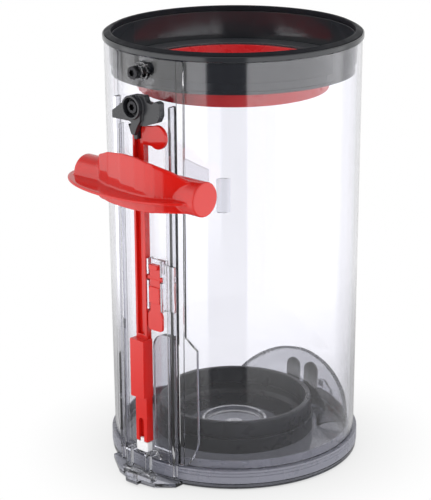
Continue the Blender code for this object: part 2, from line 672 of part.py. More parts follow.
def base_latch():
    """A barrel on the pin, two arms with noses over the keepers, and a heel over its spring."""
    latch = bar("base_latch", (-8.0, LATCH_PIVOT_OUT, LATCH_PIVOT_HEIGHT),
                (8.0, LATCH_PIVOT_OUT, LATCH_PIVOT_HEIGHT), 1.6)
    pieces = [box("latch_heel", (-3.4, 3.4), (67.6, 71.2), (5.4, 6.6))]
    for side in (-1, 1):
        x = sorted((side * 4.4, side * 7.8))
        pieces.append(box(f"latch_arm_{side}", x, (66.6, 68.6), (4.9, 16.0)))
        pieces.append(box(f"latch_nose_{side}", x, (62.3, 67.4), (14.3, 16.2)))
    join(latch, *pieces)
    bore = bar("latch_bore", (-12, LATCH_PIVOT_OUT, LATCH_PIVOT_HEIGHT),
               (12, LATCH_PIVOT_OUT, LATCH_PIVOT_HEIGHT), 1.3, 16)
    place(cut(latch, bore), CLEAR, smooth=True)


bin_tube()
mouth_collar()
mouth_seal()
wiper_retaining_ring()
shroud_wiper()
collar_screw()
actuator_retainer()
retainer_screw()
release_slider()
slider_tip()
slider_return_spring()
catch_bracket()
removal_catch()
base_flap()
base_seal()
cup_seal_carrier()
cup_seal_lip()
inlet_hood()
inlet_valve("inlet_valve_left", -9.4, -1.0, 27.5)
inlet_valve("inlet_valve_right", 2.2, 10.8, 27.6)
latch_pin()
latch_spring()
hinge_pin()
base_latch()
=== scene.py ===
"""The looks of a clear dust bin: clear moulded plastic, dark collar and seals, red slider with its handle.

Everything is in the frame's axes: the tube's axis is Z, the runner and the handle face -Y, the base's hinge
is at +Y. The object's lengths are in millimetres, and "out" is the distance from the axis towards the
runner (y = -out). The camera, the floor and the material nodes are in metres.
"""
import math

import bmesh
import bpy
from mathutils import Matrix, Vector


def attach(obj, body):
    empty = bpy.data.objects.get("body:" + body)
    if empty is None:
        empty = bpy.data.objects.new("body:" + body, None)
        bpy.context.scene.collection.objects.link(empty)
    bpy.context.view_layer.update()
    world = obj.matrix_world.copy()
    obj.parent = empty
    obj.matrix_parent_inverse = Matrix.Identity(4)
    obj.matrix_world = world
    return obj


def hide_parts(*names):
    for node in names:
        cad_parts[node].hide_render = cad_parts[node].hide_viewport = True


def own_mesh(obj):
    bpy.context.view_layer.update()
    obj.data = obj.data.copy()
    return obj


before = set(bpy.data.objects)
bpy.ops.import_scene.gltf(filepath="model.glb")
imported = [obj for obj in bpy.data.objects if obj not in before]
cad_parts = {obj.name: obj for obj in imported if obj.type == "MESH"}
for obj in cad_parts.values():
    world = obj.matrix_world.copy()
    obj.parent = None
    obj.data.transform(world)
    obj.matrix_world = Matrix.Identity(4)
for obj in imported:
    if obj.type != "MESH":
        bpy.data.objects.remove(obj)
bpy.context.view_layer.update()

MM = 0.001

# Sizes shared with the frame's parts.
HEIGHT = 209.0
TUBE_WALL = 2.0
TUBE_BOTTOM = 10.0
TUBE_TOP = 204.9
LIP_RADIUS = 61.4
LIP_BOTTOM = 205.2
COLLAR_BOTTOM = 189.8
LEDGE_TOP = 192.6
WIPER_BOTTOM = 181.4
RUNNER_OUT = 60.9
RAIL_RADIUS = 61.5
PAD_TOP = 204.6
RIB_TOP = 184.4
RIB_OUT = 61.8
INNER_RIB_OUT = 62.0
SLIDER_BACK = 62.3
ROD_HALF = 3.5
ROD_BACK = 61.2
ROD_FRONT = 64.5
ROD_TOP = 173.5
SPRING_BOX_TOP = 72.0
SPRING_BOX_BOTTOM = 43.2
FORK_BOTTOM = 20.3
HANDLE_HEIGHT = 146.8
HANDLE_OUT = 64.5
HANDLE_RADIUS = 8.05
HANDLE_CLEARANCE = 61.8
CLAW_SCREW_HEIGHT = 182.8
CLAW_BACK = 62.9
COLLAR_SCREW_HEIGHT = 198.3
SCREW_HOLE = 1.75
SCREW_HEAD = 3.0
CATCH_PIVOT_OUT = 63.2
CATCH_PIVOT_HEIGHT = 103.0
HINGE_Y = 64.6
HINGE_Z = 5.2
HINGE_PIN = 1.5
HINGE_BORE = 1.8
HINGE_LUG = 3.0
LATCH_PIVOT_OUT = 67.4
LATCH_PIVOT_HEIGHT = 4.8
LATCH_PIN = 1.0
LATCH_BORE = 1.3
FLAP_FLOOR_TOP = 9.0
CUP_OUTER = 39.0
CUP_INNER = 35.3
CUP_LIP_OUTER = 38.0
CUP_LEDGE = 16.7
CUP_TOP = 25.3
HOOD_OUTER = 56.4
HOOD_INNER = 41.0
HOOD_FOOT = FLAP_FLOOR_TOP + 0.3
FINE = 256

# Where a second clear tint starts: a darker one on the runner's pad, and on the flap's centre ring and
# tongue a lighter copy of the flap's plastic, as painted light.
PAD_HALF_WIDTH = 27.0
PAD_STEP = 0.45
PAINTED_LIGHT_FOOT_RADIUS = 17.6
PAINTED_LIGHT_TONGUE_BACK = 60.8


def tube_radius(height):
    return 60.0 + 0.00744 * (height - 110.0)


# ---------------------------------------------------------------- material nodes

def node(tree, kind, **values):
    made = tree.nodes.new(kind)
    for name, value in values.items():
        if name in made.inputs:
            made.inputs[name].default_value = value
        else:
            setattr(made, name, value)
    return made


def noise(tree, scale, detail=3.0):
    """Noise by position, with scale in lumps per metre."""
    place = node(tree, "ShaderNodeTexCoord")
    made = node(tree, "ShaderNodeTexNoise", Scale=scale, Detail=detail)
    tree.links.new(place.outputs["Object"], made.inputs["Vector"])
    return made.outputs["Fac"]


def calculated(tree, operation, *values):
    """The result of a Math node, from numbers and sockets."""
    made = node(tree, "ShaderNodeMath", operation=operation)
    for socket, value in zip(made.inputs, values):
        if isinstance(value, bpy.types.NodeSocket):
            tree.links.new(value, socket)
        else:
            socket.default_value = value
    return made.outputs[0]


def mixed(tree, share, first, second):
    """A shader between two shaders."""
    made = node(tree, "ShaderNodeMixShader")
    for socket, source in zip(made.inputs, (share, first, second)):
        tree.links.new(source, socket)
    return made.outputs["Shader"]


def ramp(tree, value, low, high, low_out, high_out):
    """The value carried from the range low..high to another range."""
    made = node(tree, "ShaderNodeMapRange")
    for name, number in (("From Min", low), ("From Max", high), ("To Min", low_out), ("To Max", high_out)):
        made.inputs[name].default_value = number
    tree.links.new(value, made.inputs["Value"])
    return made.outputs["Result"]


def blend(tree, share, first, second):
    """A colour between two colours."""
    made = node(tree, "ShaderNodeMix", data_type="RGBA")
    tree.links.new(share, made.inputs["Factor"])
    for socket, colour in ((made.inputs[6], first), (made.inputs[7], second)):
        if isinstance(colour, bpy.types.NodeSocket):
            tree.links.new(colour, socket)
        else:
            socket.default_value = (*colour, 1.0)
    return made.outputs[2]


def shade(colour, amount):
    return tuple(min(1.0, channel * amount) for channel in colour)


def moulded(name, colour, roughness, grain=3500.0, grain_depth=0.000006, wear=1.5, coat=0.0, metallic=0.0,
            variation=0.12, specular=0.5):
    """Opaque moulded plastic or rubber: cloudy colour, a fine grain, and edges rubbed a little lighter."""
    made = bpy.data.materials.new(name)
    made.use_nodes = True
    tree = made.node_tree
    shader = tree.nodes["Principled BSDF"]
    shader.inputs["Metallic"].default_value = metallic
    shader.inputs["Coat Weight"].default_value = coat
    shader.inputs["Specular IOR Level"].default_value = specular
    cloud = noise(tree, 60.0)
    body = blend(tree, cloud, shade(colour, 1 - variation), shade(colour, 1 + variation))
    geometry = node(tree, "ShaderNodeNewGeometry")
    edge = ramp(tree, geometry.outputs["Pointiness"], 0.53, 0.6, 0.0, 0.35)
    worn = blend(tree, edge, body, shade(colour, wear))
    tree.links.new(worn, shader.inputs["Base Color"])
    smear = noise(tree, 140.0, 5.0)
    rough = ramp(tree, smear, 0.3, 0.7, roughness * 0.8, roughness * 1.25)
    tree.links.new(rough, shader.inputs["Roughness"])
    bump = node(tree, "ShaderNodeBump", Strength=0.5, Distance=grain_depth)
    tree.links.new(noise(tree, grain, 2.0), bump.inputs["Height"])
    tree.links.new(bump.outputs["Normal"], shader.inputs["Normal"])
    return made


def clear(name, tint, roughness, ior=1.5, absorption=0.0):
    """Clear moulded plastic with faint ripples and haze. Light for shadows passes straight through it."""
    made = bpy.data.materials.new(name)
    made.use_nodes = True
    tree = made.node_tree
    shader = tree.nodes["Principled BSDF"]
    shader.inputs["Transmission Weight"].default_value = 1.0
    shader.inputs["IOR"].default_value = ior
    cloud = noise(tree, 25.0)
    tree.links.new(blend(tree, cloud, shade(tint, 0.985), tint), shader.inputs["Base Color"])
    haze = ramp(tree, noise(tree, 90.0, 6.0), 0.35, 0.75, roughness * 0.6, roughness * 1.8)
    tree.links.new(haze, shader.inputs["Roughness"])
    ripple = node(tree, "ShaderNodeBump", Strength=0.3, Distance=0.00002)
    tree.links.new(noise(tree, 45.0, 2.0), ripple.inputs["Height"])
    tree.links.new(ripple.outputs["Normal"], shader.inputs["Normal"])
    if absorption:
        body = node(tree, "ShaderNodeVolumeAbsorption", Color=(0.8, 0.8, 0.86, 1.0), Density=absorption)
        tree.links.new(body.outputs["Volume"], tree.nodes["Material Output"].inputs["Volume"])
    straight = node(tree, "ShaderNodeBsdfTransparent", Color=(*shade(tint, 0.97), 1.0))
    path = node(tree, "ShaderNodeLightPath")
    both = mixed(tree, path.outputs["Is Shadow Ray"], shader.outputs["BSDF"], straight.outputs["BSDF"])
    tree.links.new(both, tree.nodes["Material Output"].inputs["Surface"])
    return made


CLEAR = clear("clear_polycarbonate", (0.955, 0.955, 0.98), 0.015, absorption=45.0)
PATCH = clear("clear_patch_plastic", (0.8, 0.805, 0.83), 0.05, ior=1.12)
PAD = clear("clear_pad_plastic", (0.78, 0.78, 0.81), 0.03)
# The flap's plastic is tinted dark as painted shade from under the base; its centre ring and tongue get a
# lighter copy as painted light.
CLEAR_BASE_PAINTED_SHADE = clear("clear_base_painted_shade", (0.22, 0.225, 0.26), 0.05)
CLEAR_FOOT_PAINTED_LIGHT = clear("clear_foot_painted_light", (0.82, 0.825, 0.87), 0.06)
CLEAR_LATCH = clear("clear_latch_plastic", (0.7, 0.71, 0.74), 0.05)
HOOD = clear("clear_hood_plastic", (0.5, 0.505, 0.535), 0.08)
PANEL = clear("clear_panel_plastic", (0.62, 0.625, 0.66), 0.04)
HOOD_RIM = clear("hood_rim_plastic", (0.33, 0.335, 0.36), 0.25)
COLLAR = moulded("collar_dark_grey", (0.022, 0.024, 0.028), 0.13, grain_depth=0.000001)
CLAW = moulded("claw_dark_grey", (0.02, 0.021, 0.025), 0.28, grain_depth=0.00001)
RING = moulded("ring_grey", (0.05, 0.052, 0.06), 0.4)
RED = moulded("slider_red", (0.6, 0.011, 0.007), 0.06, wear=1.15, variation=0.04)
SOFT_RED = moulded("wiper_red", (0.62, 0.014, 0.018), 0.3, wear=1.2, variation=0.06)
CUP = moulded("cup_rubber", (0.012, 0.013, 0.018), 0.3, wear=2.0, specular=0.3)
# Black rubber lifted to a blue-grey: the grey stands for painted sheen.
SEAL_PAINTED_SHEEN = moulded("seal_rubber_painted_sheen", (0.2, 0.203, 0.245), 0.28, wear=1.8, specular=0.8)
VALVE = moulded("valve_rubber", (0.08, 0.082, 0.09), 0.5)
LIP = moulded("lip_rubber", (0.008, 0.0085, 0.012), 0.5, specular=0.12)
PALE = moulded("pale_plastic", (0.85, 0.85, 0.86), 0.25, wear=1.05)
SCREW = moulded("black_screw", (0.03, 0.03, 0.033), 0.3, metallic=0.9, wear=3.0)
STEEL = moulded("plain_steel", (0.5, 0.5, 0.51), 0.28, metallic=1.0, wear=1.1)


# ---------------------------------------------------------------- shapes

def show(made):
    bpy.context.scene.collection.objects.link(made)
    return made


def from_bmesh(name, shape):
    data = bpy.data.meshes.new(name)
    bmesh.ops.recalc_face_normals(shape, faces=shape.faces)
    shape.to_mesh(data)
    shape.free()
    return show(bpy.data.objects.new(name, data))


def applied(made, weld=0.000002):
    """The object's modifiers or curve made into a plain mesh."""
    bpy.context.view_layer.update()
    seen = made.evaluated_get(bpy.context.evaluated_depsgraph_get())
    data = bpy.data.meshes.new_from_object(seen)
    shape = bmesh.new()
    shape.from_mesh(data)
    shape.transform(made.matrix_world)
    bmesh.ops.remove_doubles(shape, verts=shape.verts, dist=weld)
    bmesh.ops.recalc_face_normals(shape, faces=shape.faces)
    shape.to_mesh(data)
    shape.free()
    name = made.name
    bpy.data.objects.remove(made)
    return show(bpy.data.objects.new(name, data))


def box(name, x, out, z, edge=0.0, segments=2):
    """A box between the low and high values of x, out and z, with its edges rounded by edge."""
    shape = bmesh.new()
    bmesh.ops.create_cube(shape, size=1.0)
    size = Vector((x[1] - x[0], out[1] - out[0], z[1] - z[0])) * MM
    middle = Vector((x[0] + x[1], -out[0] - out[1], z[0] + z[1])) * MM / 2
    bmesh.ops.scale(shape, vec=size, verts=shape.verts)
    bmesh.ops.translate(shape, vec=middle, verts=shape.verts)
    if edge:
        bmesh.ops.bevel(shape, geom=shape.edges, offset=edge * MM, segments=segments, profile=0.5,
                        affect="EDGES", clamp_overlap=True)
    return from_bmesh(name, shape)


def bar(name, start, end, radius, steps=64, edge=0.0):
    """A round bar from start to end, each an (x, out, z), with rounded rims."""
    first = Vector((start[0], -start[1], start[2])) * MM
    last = Vector((end[0], -end[1], end[2])) * MM
    along = last - first
    turn = along.to_track_quat("Z", "Y").to_matrix().to_4x4()
    shape = bmesh.new()
    bmesh.ops.create_cone(shape, cap_ends=True, segments=steps, radius1=radius * MM, radius2=radius * MM,
                          depth=along.length)
    if edge:
        rims = [e for e in shape.edges if abs(e.verts[0].co.z - e.verts[1].co.z) < 1e-7]
        bmesh.ops.bevel(shape, geom=rims, offset=edge * MM, segments=3, profile=0.5, affect="EDGES")
    shape.transform(Matrix.Translation((first + last) / 2) @ turn)
    return from_bmesh(name, shape)


def outward_bar(name, height, back, front, radius, steps=64, edge=0.0):
    """A round bar in the runner's middle plane, from one distance out to another."""
    return bar(name, (0, back, height), (0, front, height), radius, steps, edge)


def cross_bar(name, half, out, height, radius, steps=64, edge=0.0):
    """A round bar along X that reaches as far to each side."""
    return bar(name, (-half, out, height), (half, out, height), radius, steps, edge)


def rounded(points, radii, closed=True, steps=4):
    """An outline with an arc at each corner that has a radius."""
    count = len(points)
    if isinstance(radii, (int, float)):
        radii = [radii] * count
    path = []
    for i, point in enumerate(points):
        here = Vector(point)
        if radii[i] == 0 or (not closed and i in (0, count - 1)):
            path.append(tuple(here))
            continue
        to_last = Vector(points[i - 1]) - here
        to_next = Vector(points[(i + 1) % count]) - here
        angle = to_last.angle(to_next)
        reach = min(radii[i] / math.tan(angle / 2), to_last.length * 0.45, to_next.length * 0.45)
        start = here + to_last.normalized() * reach
        end = here + to_next.normalized() * reach
        for k in range(steps + 1):
            t = k / steps
            path.append(tuple(start * (1 - t) ** 2 + here * 2 * t * (1 - t) + end * t ** 2))
    return path


def turned(name, profile, steps=FINE, closed=True):
    """A profile of (radius, z) turned about the axis."""
    data = bpy.data.meshes.new(name)
    points = [(radius * MM, 0.0, z * MM) for radius, z in profile]
    edges = [(i, i + 1) for i in range(len(points) - 1)]
    if closed:
        edges.append((len(points) - 1, 0))
    data.from_pydata(points, edges, [])
    made = show(bpy.data.objects.new(name, data))
    screw = made.modifiers.new("turn", "SCREW")
    screw.steps = steps
    screw.render_steps = steps
    screw.use_merge_vertices = True
    screw.merge_threshold = 0.00001
    return applied(made)


def outline_curve(name, outline, thickness):
    curve = bpy.data.curves.new(name, "CURVE")
    curve.dimensions = "2D"
    curve.fill_mode = "BOTH"
    curve.extrude = thickness * MM / 2
    spline = curve.splines.new("POLY")
    spline.points.add(len(outline) - 1)
    for point, (across, up) in zip(spline.points, outline):
        point.co = (across * MM, up * MM, 0.0, 1.0)
    spline.use_cyclic_u = True
    return show(bpy.data.objects.new(name, curve))


def level_plate(name, outline, low, high, edge=0.0):
    """An outline of (x, out) as a plate between two heights."""
    made = outline_curve(name, [(x, -out) for x, out in outline], high - low)
    made.location.z = (low + high) / 2 * MM
    return soften(applied(made), edge)


def front_plate(name, outline, back, front, edge=0.0):
    """An outline of (x, z) as a plate between two distances out."""
    made = outline_curve(name, outline, front - back)
    made.rotation_euler.x = math.pi / 2
    made.location.y = -(back + front) / 2 * MM
    return soften(applied(made), edge)


def side_plate(name, outline, left, right, edge=0.0):
    """An outline of (y, z) as a plate between two values of x."""
    made = outline_curve(name, outline, right - left)
    made.rotation_euler = (math.pi / 2, 0.0, math.pi / 2)
    made.location.x = (left + right) / 2 * MM
    return soften(applied(made), edge)


def soften(made, width, segments=2, angle=35):
    """Rounds the edges sharper than the angle."""
    if width:
        bevel = made.modifiers.new("edges", "BEVEL")
        bevel.width = width * MM
        bevel.segments = segments
        bevel.limit_method = "ANGLE"
        bevel.angle_limit = math.radians(angle)
        made = applied(made)
    return made


def arc(middle, radius, start, end, steps):
    return ellipse(middle, radius, radius, start, end, steps)


def ellipse(middle, across, up, start, end, steps):
    turns = [math.radians(start + (end - start) * i / steps) for i in range(steps + 1)]
    return [(middle[0] + across * math.cos(t), middle[1] + up * math.sin(t)) for t in turns]


def along(knots, x):
    """The height of a line through the knots at x."""
    for (left, first), (right, second) in zip(knots, knots[1:]):
        if x <= right:
            return first + (second - first) * (x - left) / (right - left)
    return knots[-1][1]


def combine(base, operation, pieces):
    for piece in pieces:
        step = base.modifiers.new(piece.name, "BOOLEAN")
        step.operation = operation
        step.solver = "EXACT"
        step.object = piece
    base = applied(base)
    for piece in pieces:
        bpy.data.objects.remove(piece)
    return base


def join(base, *pieces):
    return combine(base, "UNION", pieces)


def cut(base, *pieces):
    return combine(base, "DIFFERENCE", pieces)


def melted(made, voxel, passes, factor=0.5):
    """The joined shape as one skin, with its inner corners and edges flowing into each other."""
    skin = made.modifiers.new("skin", "REMESH")
    skin.mode = "VOXEL"
    skin.voxel_size = voxel * MM
    skin.use_smooth_shade = True
    flow = made.modifiers.new("flow", "SMOOTH")
    flow.factor = factor
    flow.iterations = passes
    return applied(made)


def finish(made, body, mat, slot, *nodes, angle=32):
    """A finished piece: shaded, with its material, on its body, in place of its CAD nodes."""
    made.data.materials.clear()
    made.data.materials.append(mat)
    made.data.shade_smooth()
    made.data.set_sharp_from_angle(angle=math.radians(angle))
    flat = made.modifiers.new("flat_faces", "WEIGHTED_NORMAL")
    flat.keep_sharp = True
    flat.weight = 100
    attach(made, body)
    if nodes:
        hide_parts(*nodes)
    return made


def tint_faces(made, mat, chosen):
    """A second material on the faces whose centre is chosen."""
    made.data.materials.append(mat)
    for face in made.data.polygons:
        if chosen(face.center):
            face.material_index = 1


def star(middle, outer, points=6, depth=0.22):
    """The outline of a star socket with round lobes."""
    outline = []
    for i in range(points * 8):
        turn = 2 * math.pi * i / (points * 8)
        radius = outer * (1 - depth * (0.5 - 0.5 * math.cos(points * turn)))
        outline.append((middle[0] + radius * math.cos(turn), middle[1] + radius * math.sin(turn)))
    return outline


def round_wire(name, path, radius):
    """A round wire or bead along a path of (x, out, z)."""
    curve = bpy.data.curves.new(name, "CURVE")
    curve.dimensions = "3D"
    curve.bevel_depth = radius * MM
    curve.bevel_resolution = 3
    curve.use_fill_caps = True
    spline = curve.splines.new("POLY")
    spline.points.add(len(path) - 1)
    for point, (x, out, z) in zip(spline.points, path):
        point.co = (x * MM, -out * MM, z * MM, 1.0)
    return applied(show(bpy.data.objects.new(name, curve)))


def coil(name, middle, low, high, radius, wire, turns, steps=24):
    """A compression spring that stands on z = low about the vertical line through (x, out)."""
    path = []
    for i in range(turns * steps + 1):
        turn = 2 * math.pi * i / steps
        rise = (high - low - wire) * i / (turns * steps)
        path.append((middle[0] + radius * math.cos(turn), middle[1] + radius * math.sin(turn),
                     low + wire / 2 + rise))
    return round_wire(name, path, wire / 2)


# ---------------------------------------------------------------- the tube

def wall_patch(name, radius, outline, corner=0.6):
    """A patch of the tube's wall raised to a radius, with an outline of (x, z)."""
    ring = turned(name, [(radius, 208.0), (radius, 6.0), (59.1, 6.0), (59.1, 208.0)])
    stencil = front_plate(name + "_outline", rounded(outline, corner), 40.0, 70.0)
    return combine(ring, "INTERSECT", [stencil])


def runner_pad():
    """The raised strip under the slider, wider beside the fork, with a rail along each border."""
    flare = [(21.9, PAD_TOP), (20.9, 75.0), (26.2, 69.0), (26.2, 22.0), (24.4, 16.7), (21.5, 11.0)]
    pieces = [wall_patch("runner_pad", RUNNER_OUT, flare + [(-x, z) for x, z in reversed(flare)], 1.2)]
    rail = [(18.4, PAD_TOP), (21.7, PAD_TOP), (20.3, 10.8), (18.4, 10.8)]
    pieces.append(wall_patch("right_rail", RAIL_RADIUS, rail))
    pieces.append(wall_patch("left_rail", RAIL_RADIUS, [(-x, z) for x, z in reversed(rail)]))
    return pieces


def wall_details():
    """A flat panel beside the fork, and two thin raised patches beside the handle."""
    panel = [(4.9, 17.5), (15.9, 17.5), (15.9, 75.4), (13.0, 75.4)] + arc((12.0, 68.3), 7.1, 90, 180, 16)
    guard = [(21.0, 160.6), (30.8, 156.2), (30.8, 140.0), (21.0, 140.0)]
    window = [(34.6, 152.3), (38.5, 152.3), (38.5, 136.4), (34.6, 136.4)]
    finish(front_plate("fork_panel", panel, 58.5, 61.9, edge=0.3), "bin", PANEL, "clear_plastic")
    for name, outline in (("guard_patch", guard), ("window_patch", window)):
        finish(wall_patch(name, 60.8, outline), "bin", PATCH, "clear_plastic")


def runner_ribs():
    """A thick outer rib with a foot, and a thin inner rib, on each side of the rod."""
    ribs = []
    for side in (-1, 1):
        x = sorted((side * 16.4, side * 18.0))
        outline = [(x[0], 10.6), (x[1], 10.6)]
        outline += arc(((x[0] + x[1]) / 2, RIB_TOP - 0.8), 0.8, 0, 180, 12)
        ribs.append(front_plate(f"outer_rib_{side}", outline, 58.0, RIB_OUT, edge=0.35))
        ribs.append(box(f"outer_rib_foot_{side}", x, (59.9, RIB_OUT), (5.0, 12.0), edge=0.45))
        ribs.append(box(f"inner_rib_{side}", sorted((side * 14.1, side * 14.9)), (58.0, INNER_RIB_OUT),
                        (10.8, 172.0), edge=0.25))
    return ribs


def hinge_lug(side):
    """One of the two ears that hold the hinge pin."""
    inner, outer = HINGE_Y - HINGE_LUG, HINGE_Y + HINGE_LUG
    outline = [(57.6, 17.0), (57.6, 10.6), (inner, 10.6)]
    outline += arc((HINGE_Y, HINGE_Z), HINGE_LUG, 180, 360, 24)
    outline += [(outer, 8.5), (60.5, 17.0)]
    return side_plate(f"hinge_lug_{side}", outline, *sorted((side * 8.0, side * 12.0)), edge=0.35)


def on_pad(place):
    """Whether a place is on the raised strip, clear of the tube's own wall."""
    raised = place.xy.length / MM - tube_radius(place.z / MM)
    return abs(place.x) < PAD_HALF_WIDTH * MM and place.y < 0 and raised > PAD_STEP


def clear_tube():
    """The tube with its wall, pad, ribs, bosses, keepers and hinge lugs as one moulding."""
    top, bottom = tube_radius(TUBE_TOP), tube_radius(TUBE_BOTTOM)
    profile = [(top, TUBE_TOP), (bottom, TUBE_BOTTOM), (bottom - TUBE_WALL, TUBE_BOTTOM),
               (top - TUBE_WALL, TUBE_TOP)]
    tube = turned("clear_tube", rounded(profile, 0.35))
    collar_boss = outward_bar("collar_screw_boss", COLLAR_SCREW_HEIGHT, 59.6, 62.3, 4.5, edge=0.4)
    screw_post = outward_bar("collar_screw_post", COLLAR_SCREW_HEIGHT, 61.0, 64.4, 3.7, edge=0.4)
    claw_boss = outward_bar("claw_boss", CLAW_SCREW_HEIGHT, 59.6, 61.9, 4.2, edge=0.3)
    seat = box("spring_seat", (-2.2, 2.2), (58.6, 65.8), (45.5, 47.5), edge=0.3)
    keepers = [box(f"keeper_{side}", sorted((side * 4.4, side * 8.2)), (58.0, 62.0), (11.5, 14.0), edge=0.3)
               for side in (-1, 1)]
    tube = join(tube, *runner_pad(), *runner_ribs(), *keepers, collar_boss, screw_post,
                claw_boss, seat, hinge_lug(-1), hinge_lug(1))
    tube = cut(tube, outward_bar("collar_screw_hole", COLLAR_SCREW_HEIGHT, 50, 70, SCREW_HOLE),
               outward_bar("claw_screw_hole", CLAW_SCREW_HEIGHT, 60, 70, SCREW_HOLE),
               cross_bar("hinge_hole", 20, -HINGE_Y, HINGE_Z, HINGE_BORE))
    finish(tube, "bin", CLEAR, "clear_plastic", "bin_tube")
    tint_faces(tube, PAD, on_pad)
    wall_details()


# ---------------------------------------------------------------- the mouth

def collar():
    """A ring inside the tube's top, stepped at its lower end, with a lip that covers the tube's edge."""
    profile = [(60.7, 207.6), (LIP_RADIUS, 207.3), (LIP_RADIUS, LIP_BOTTOM), (58.35, LIP_BOTTOM),
               (58.2, 195.2), (57.8, 195.0), (57.2, 191.4), (57.5, 191.2), (57.5, COLLAR_BOTTOM),
               (53.0, COLLAR_BOTTOM), (53.0, 190.8), (57.0, 190.8), (57.0, 206.2), (60.7, 206.2)]
    radii = [0.15, 0.4, 0.3, 0.2, 0.1, 0.1, 0.1, 0.1, 0.3, 0.2, 0.2, 0.2, 0.2, 0.1]
    made = turned("collar", rounded(profile, radii))
    made = cut(made, outward_bar("collar_hole", COLLAR_SCREW_HEIGHT, 50, 70, SCREW_HOLE))
    finish(made, "bin", COLLAR, "dark_plastic", "mouth_collar")


def lip_seal():
    profile = [(58.2, HEIGHT), (60.4, 207.9), (60.4, 206.5), (57.3, 206.5), (57.3, 208.6)]
    finish(turned("lip_seal", rounded(profile, [0.4, 0.2, 0.1, 0.1, 0.3])), "bin", LIP, "dark_rubber",
           "mouth_seal")


def retaining_ring():
    profile = [(56.7, LEDGE_TOP), (56.7, 191.1), (46.7, 191.1), (46.7, LEDGE_TOP)]
    finish(turned("retaining_ring", rounded(profile, 0.3)), "bin", RING, "grey_plastic",
           "wiper_retaining_ring")


def wiper():
    """A soft conical ring that hangs from a flat flange."""
    profile = [(46.3, 191.6), (46.3, 190.8), (52.6, 190.8), (52.6, 189.6), (46.4, 189.2),
               (45.2, WIPER_BOTTOM), (44.0, WIPER_BOTTOM), (45.1, 191.6)]
    finish(turned("wiper", rounded(profile, [0.3, 0.2, 0.2, 0.2, 0.6, 0.5, 0.5, 0.3])), "bin", SOFT_RED,
           "soft_red", "shroud_wiper")


def star_screw(name, height, tip, seat, face, cad_node):
    """A screw from its tip out to its face, with its head on the seat."""
    made = outward_bar(name, height, seat, face, SCREW_HEAD, edge=0.45)
    made = join(made, outward_bar("shank", height, tip, seat + 0.6, 1.4))
    socket = front_plate("socket", star((0, height), SCREW_HEAD * 0.55), face - 1.4, face + 1.0)
    made = cut(made, socket)
    finish(made, "bin", SCREW, "black_screw", cad_node)


# ---------------------------------------------------------------- the slider's retainer

def claw():
    """A boss with a deep recess, a wing to the left, a thick body to the right and a hook below."""
    wing = [(-15.9, 175.0), (-15.8, 178.7), (-10.5, 182.3), (-5.2, 186.2), (2.0, 186.0), (2.0, 175.2),
            (-4.5, 175.2)]
    body = [(-0.4, 188.2), (6.0, 188.6), (7.0, 186.0), (10.6, 185.4), (13.0, 187.0), (15.4, 186.4),
            (15.6, 180.5), (14.0, 177.4), (6.7, 175.0), (1.8, 174.2), (-1.0, 180.0)]
    hook = [(-2.0, 180.0), (-1.8, 174.0), (-1.5, 171.0), (-0.8, 167.7), (1.2, 167.7), (1.8, 174.2),
            (2.4, 180.0)]
    ridge = [(-3.5, 179.0), (4.8, 181.0), (4.6, 177.0), (2.2, 173.0), (1.0, 170.0), (-1.0, 170.0),
             (-2.6, 174.0)]
    made = front_plate("claw", rounded(wing, 0.5), CLAW_BACK, 64.9)
    made = join(made, front_plate("claw_body", rounded(body, 0.7), CLAW_BACK, 66.2),
                front_plate("claw_hook", rounded(hook, 0.5), CLAW_BACK, 66.1),
                front_plate("claw_ridge", rounded(ridge, 1.0), 64.85, 67.6),
                outward_bar("claw_boss", CLAW_SCREW_HEIGHT, 63.2, 69.0, 5.5, 96),
                outward_bar("claw_foot", CLAW_SCREW_HEIGHT, 62.2, 64.6, 5.2, 96))
    recess = outward_bar("claw_recess", CLAW_SCREW_HEIGHT, 65.5, 75.0, 4.5, 96)
    dent = front_plate("claw_dent", rounded([(-3.2, 176.4), (-0.9, 175.6), (-2.0, 173.2)], 0.3), 65.4, 70.0)
    hole = outward_bar("claw_hole", CLAW_SCREW_HEIGHT, 55.0, 70.0, SCREW_HOLE)
    made = cut(made, recess, dent, hole)
    finish(melted(made, 0.2, 2), "bin", CLAW, "grey_plastic", "actuator_retainer", angle=60)


# ---------------------------------------------------------------- the red slider

# The handle's front face (x, out), its top edge (x, z), and how the top falls from the front to the tube: a
# distance behind the front with the share of the rise above the grip's axis that is left there.
HANDLE_FRONT = ((-24.0, 65.5), (-21.5, 69.8), (-17.0, 72.8), (-8.0, 76.2), (2.0, 78.3), (12.0, 79.0),
                (18.0, 78.8), (21.5, 77.9), (26.0, 75.2), (30.5, 72.4), (36.0, 68.6))
HANDLE_CREST = ((-21.5, 152.0), (-19.4, 156.5), (-17.2, 159.3), (-8.4, 162.5), (3.0, 164.2), (11.8, 164.1),
                (20.9, 162.3), (28.1, 159.3), (36.0, 154.0))
HUMP = ((0.0, 1.0), (2.0, 0.97), (4.5, 0.84), (8.0, 0.6), (12.0, 0.35), (18.0, 0.1))
HANDLE_BELLY = 139.0
BELLY_SLOPE = 0.03
HANDLE_BACK = 54.0


def handle_body():
    """The thick middle of the handle: upright slices under a hump, with a blunt left end."""
    slices = 69
    left, right = HANDLE_CREST[0][0], HANDLE_CREST[-1][0]
    shape = bmesh.new()
    rings = []
    for i in range(slices + 1):
        x = left + (right - left) * i / slices
        rise = along(HANDLE_CREST, x) - HANDLE_HEIGHT
        low = HANDLE_BELLY + BELLY_SLOPE * x
        ring = [(max(along(HANDLE_FRONT, x) - depth, HANDLE_BACK), HANDLE_HEIGHT + rise * share)
                for depth, share in HUMP]
        ring += [(ring[-1][0], low), (ring[0][0], low)]
        rings.append([shape.verts.new((x * MM, -out * MM, z * MM)) for out, z in ring])
    for first, second in zip(rings, rings[1:]):
        for i in range(len(first)):
            shape.faces.new((first[i - 1], first[i], second[i], second[i - 1]))
    shape.faces.new(rings[0])
    shape.faces.new(rings[-1])
    return from_bmesh("handle_body", shape)


